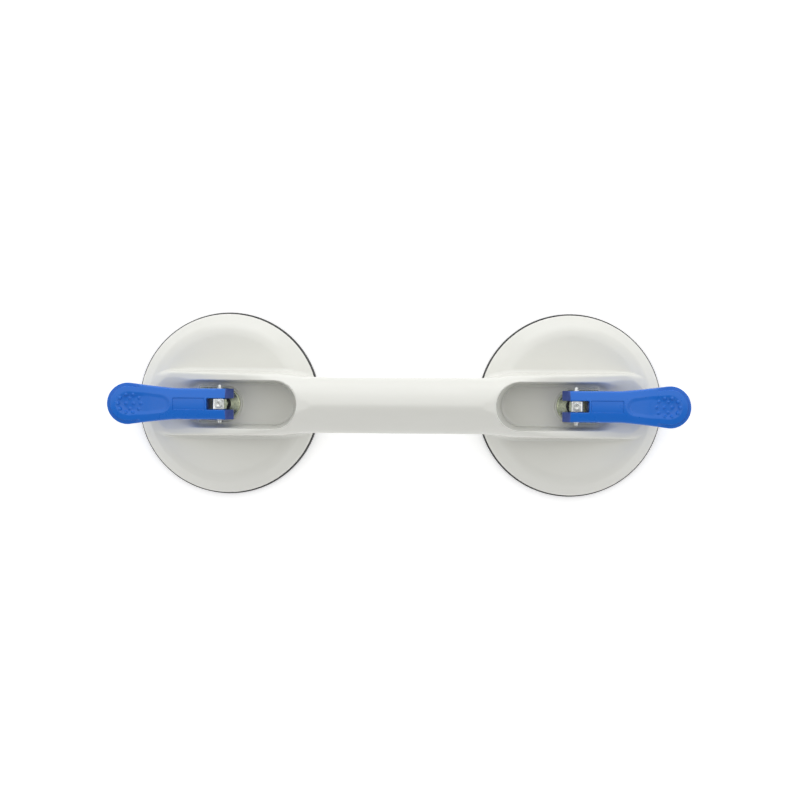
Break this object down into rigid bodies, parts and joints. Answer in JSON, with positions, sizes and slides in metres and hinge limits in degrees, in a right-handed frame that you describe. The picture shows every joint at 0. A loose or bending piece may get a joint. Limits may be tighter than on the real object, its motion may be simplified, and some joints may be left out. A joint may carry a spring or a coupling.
{
  "type": "suction grab bar",
  "caption": "Suction grab bar: a straight moulded grip between round suction heads, each with a flip lever whose cam lifts the middle of its rubber pad.",
  "frame": {"origin": "centre, between the suction heads, of the plane that the pads' sealing faces lie in", "axes": "+X along the grip towards the right-hand head, +Y across the grip, +Z away from the wall"},
  "size_m": [0.361, 0.12, 0.057],
  "materials": {
    "white_plastic": "glossy white moulded plastic",
    "blue_plastic": "satin blue moulded plastic",
    "black_rubber": "smooth black rubber",
    "zinc_steel": "zinc-plated steel",
    "bright_steel": "bright turned steel",
    "spring_steel": "drawn spring wire",
    "screw_steel": "plated screws",
    "grey_nylon": "self-coloured grey nylon"
  },
  "bodies": {
    "handle": {"handle_body": "white_plastic", "grip_cover": "white_plastic", "cover_screws": "screw_steel", "left_bearing_plate": "zinc_steel", "left_guide_bush": "grey_nylon", "left_return_spring": "spring_steel", "left_suction_pad": "black_rubber", "right_bearing_plate": "zinc_steel", "right_guide_bush": "grey_nylon", "right_return_spring": "spring_steel", "right_suction_pad": "black_rubber"},
    "left_stud": {"left_pull_stud": "bright_steel", "left_pivot_pin": "bright_steel", "left_pad_plate": "zinc_steel"},
    "right_stud": {"right_pull_stud": "bright_steel", "right_pivot_pin": "bright_steel", "right_pad_plate": "zinc_steel"},
    "left_lever_arm": {"left_lever": "blue_plastic"},
    "right_lever_arm": {"right_lever": "blue_plastic"}
  },
  "joints": [
    {"name": "left_stud_slide", "type": "slide", "parent": "handle", "child": "left_stud", "axis": [0, 0, 1], "range_m": [-0.0045, 0], "deforming": ["left_return_spring", "left_suction_pad"]},
    {"name": "left_lever_hinge", "type": "hinge", "parent": "left_stud", "child": "left_lever_arm", "pos_m": [-0.111, 0, 0.034], "axis": [0, 1, 0], "range_deg": [0, 90]},
    {"name": "right_stud_slide", "type": "slide", "parent": "handle", "child": "right_stud", "axis": [0, 0, 1], "range_m": [-0.0045, 0], "deforming": ["right_return_spring", "right_suction_pad"]},
    {"name": "right_lever_hinge", "type": "hinge", "parent": "right_stud", "child": "right_lever_arm", "pos_m": [0.111, 0, 0.034], "axis": [0, -1, 0], "range_deg": [0, 90]}
  ],
  "couplings": [
    {"joint": "left_stud_slide", "follows": "left_lever_hinge", "m_per_rad": -0.002864},
    {"joint": "right_stud_slide", "follows": "right_lever_hinge", "m_per_rad": -0.002864}
  ]
}
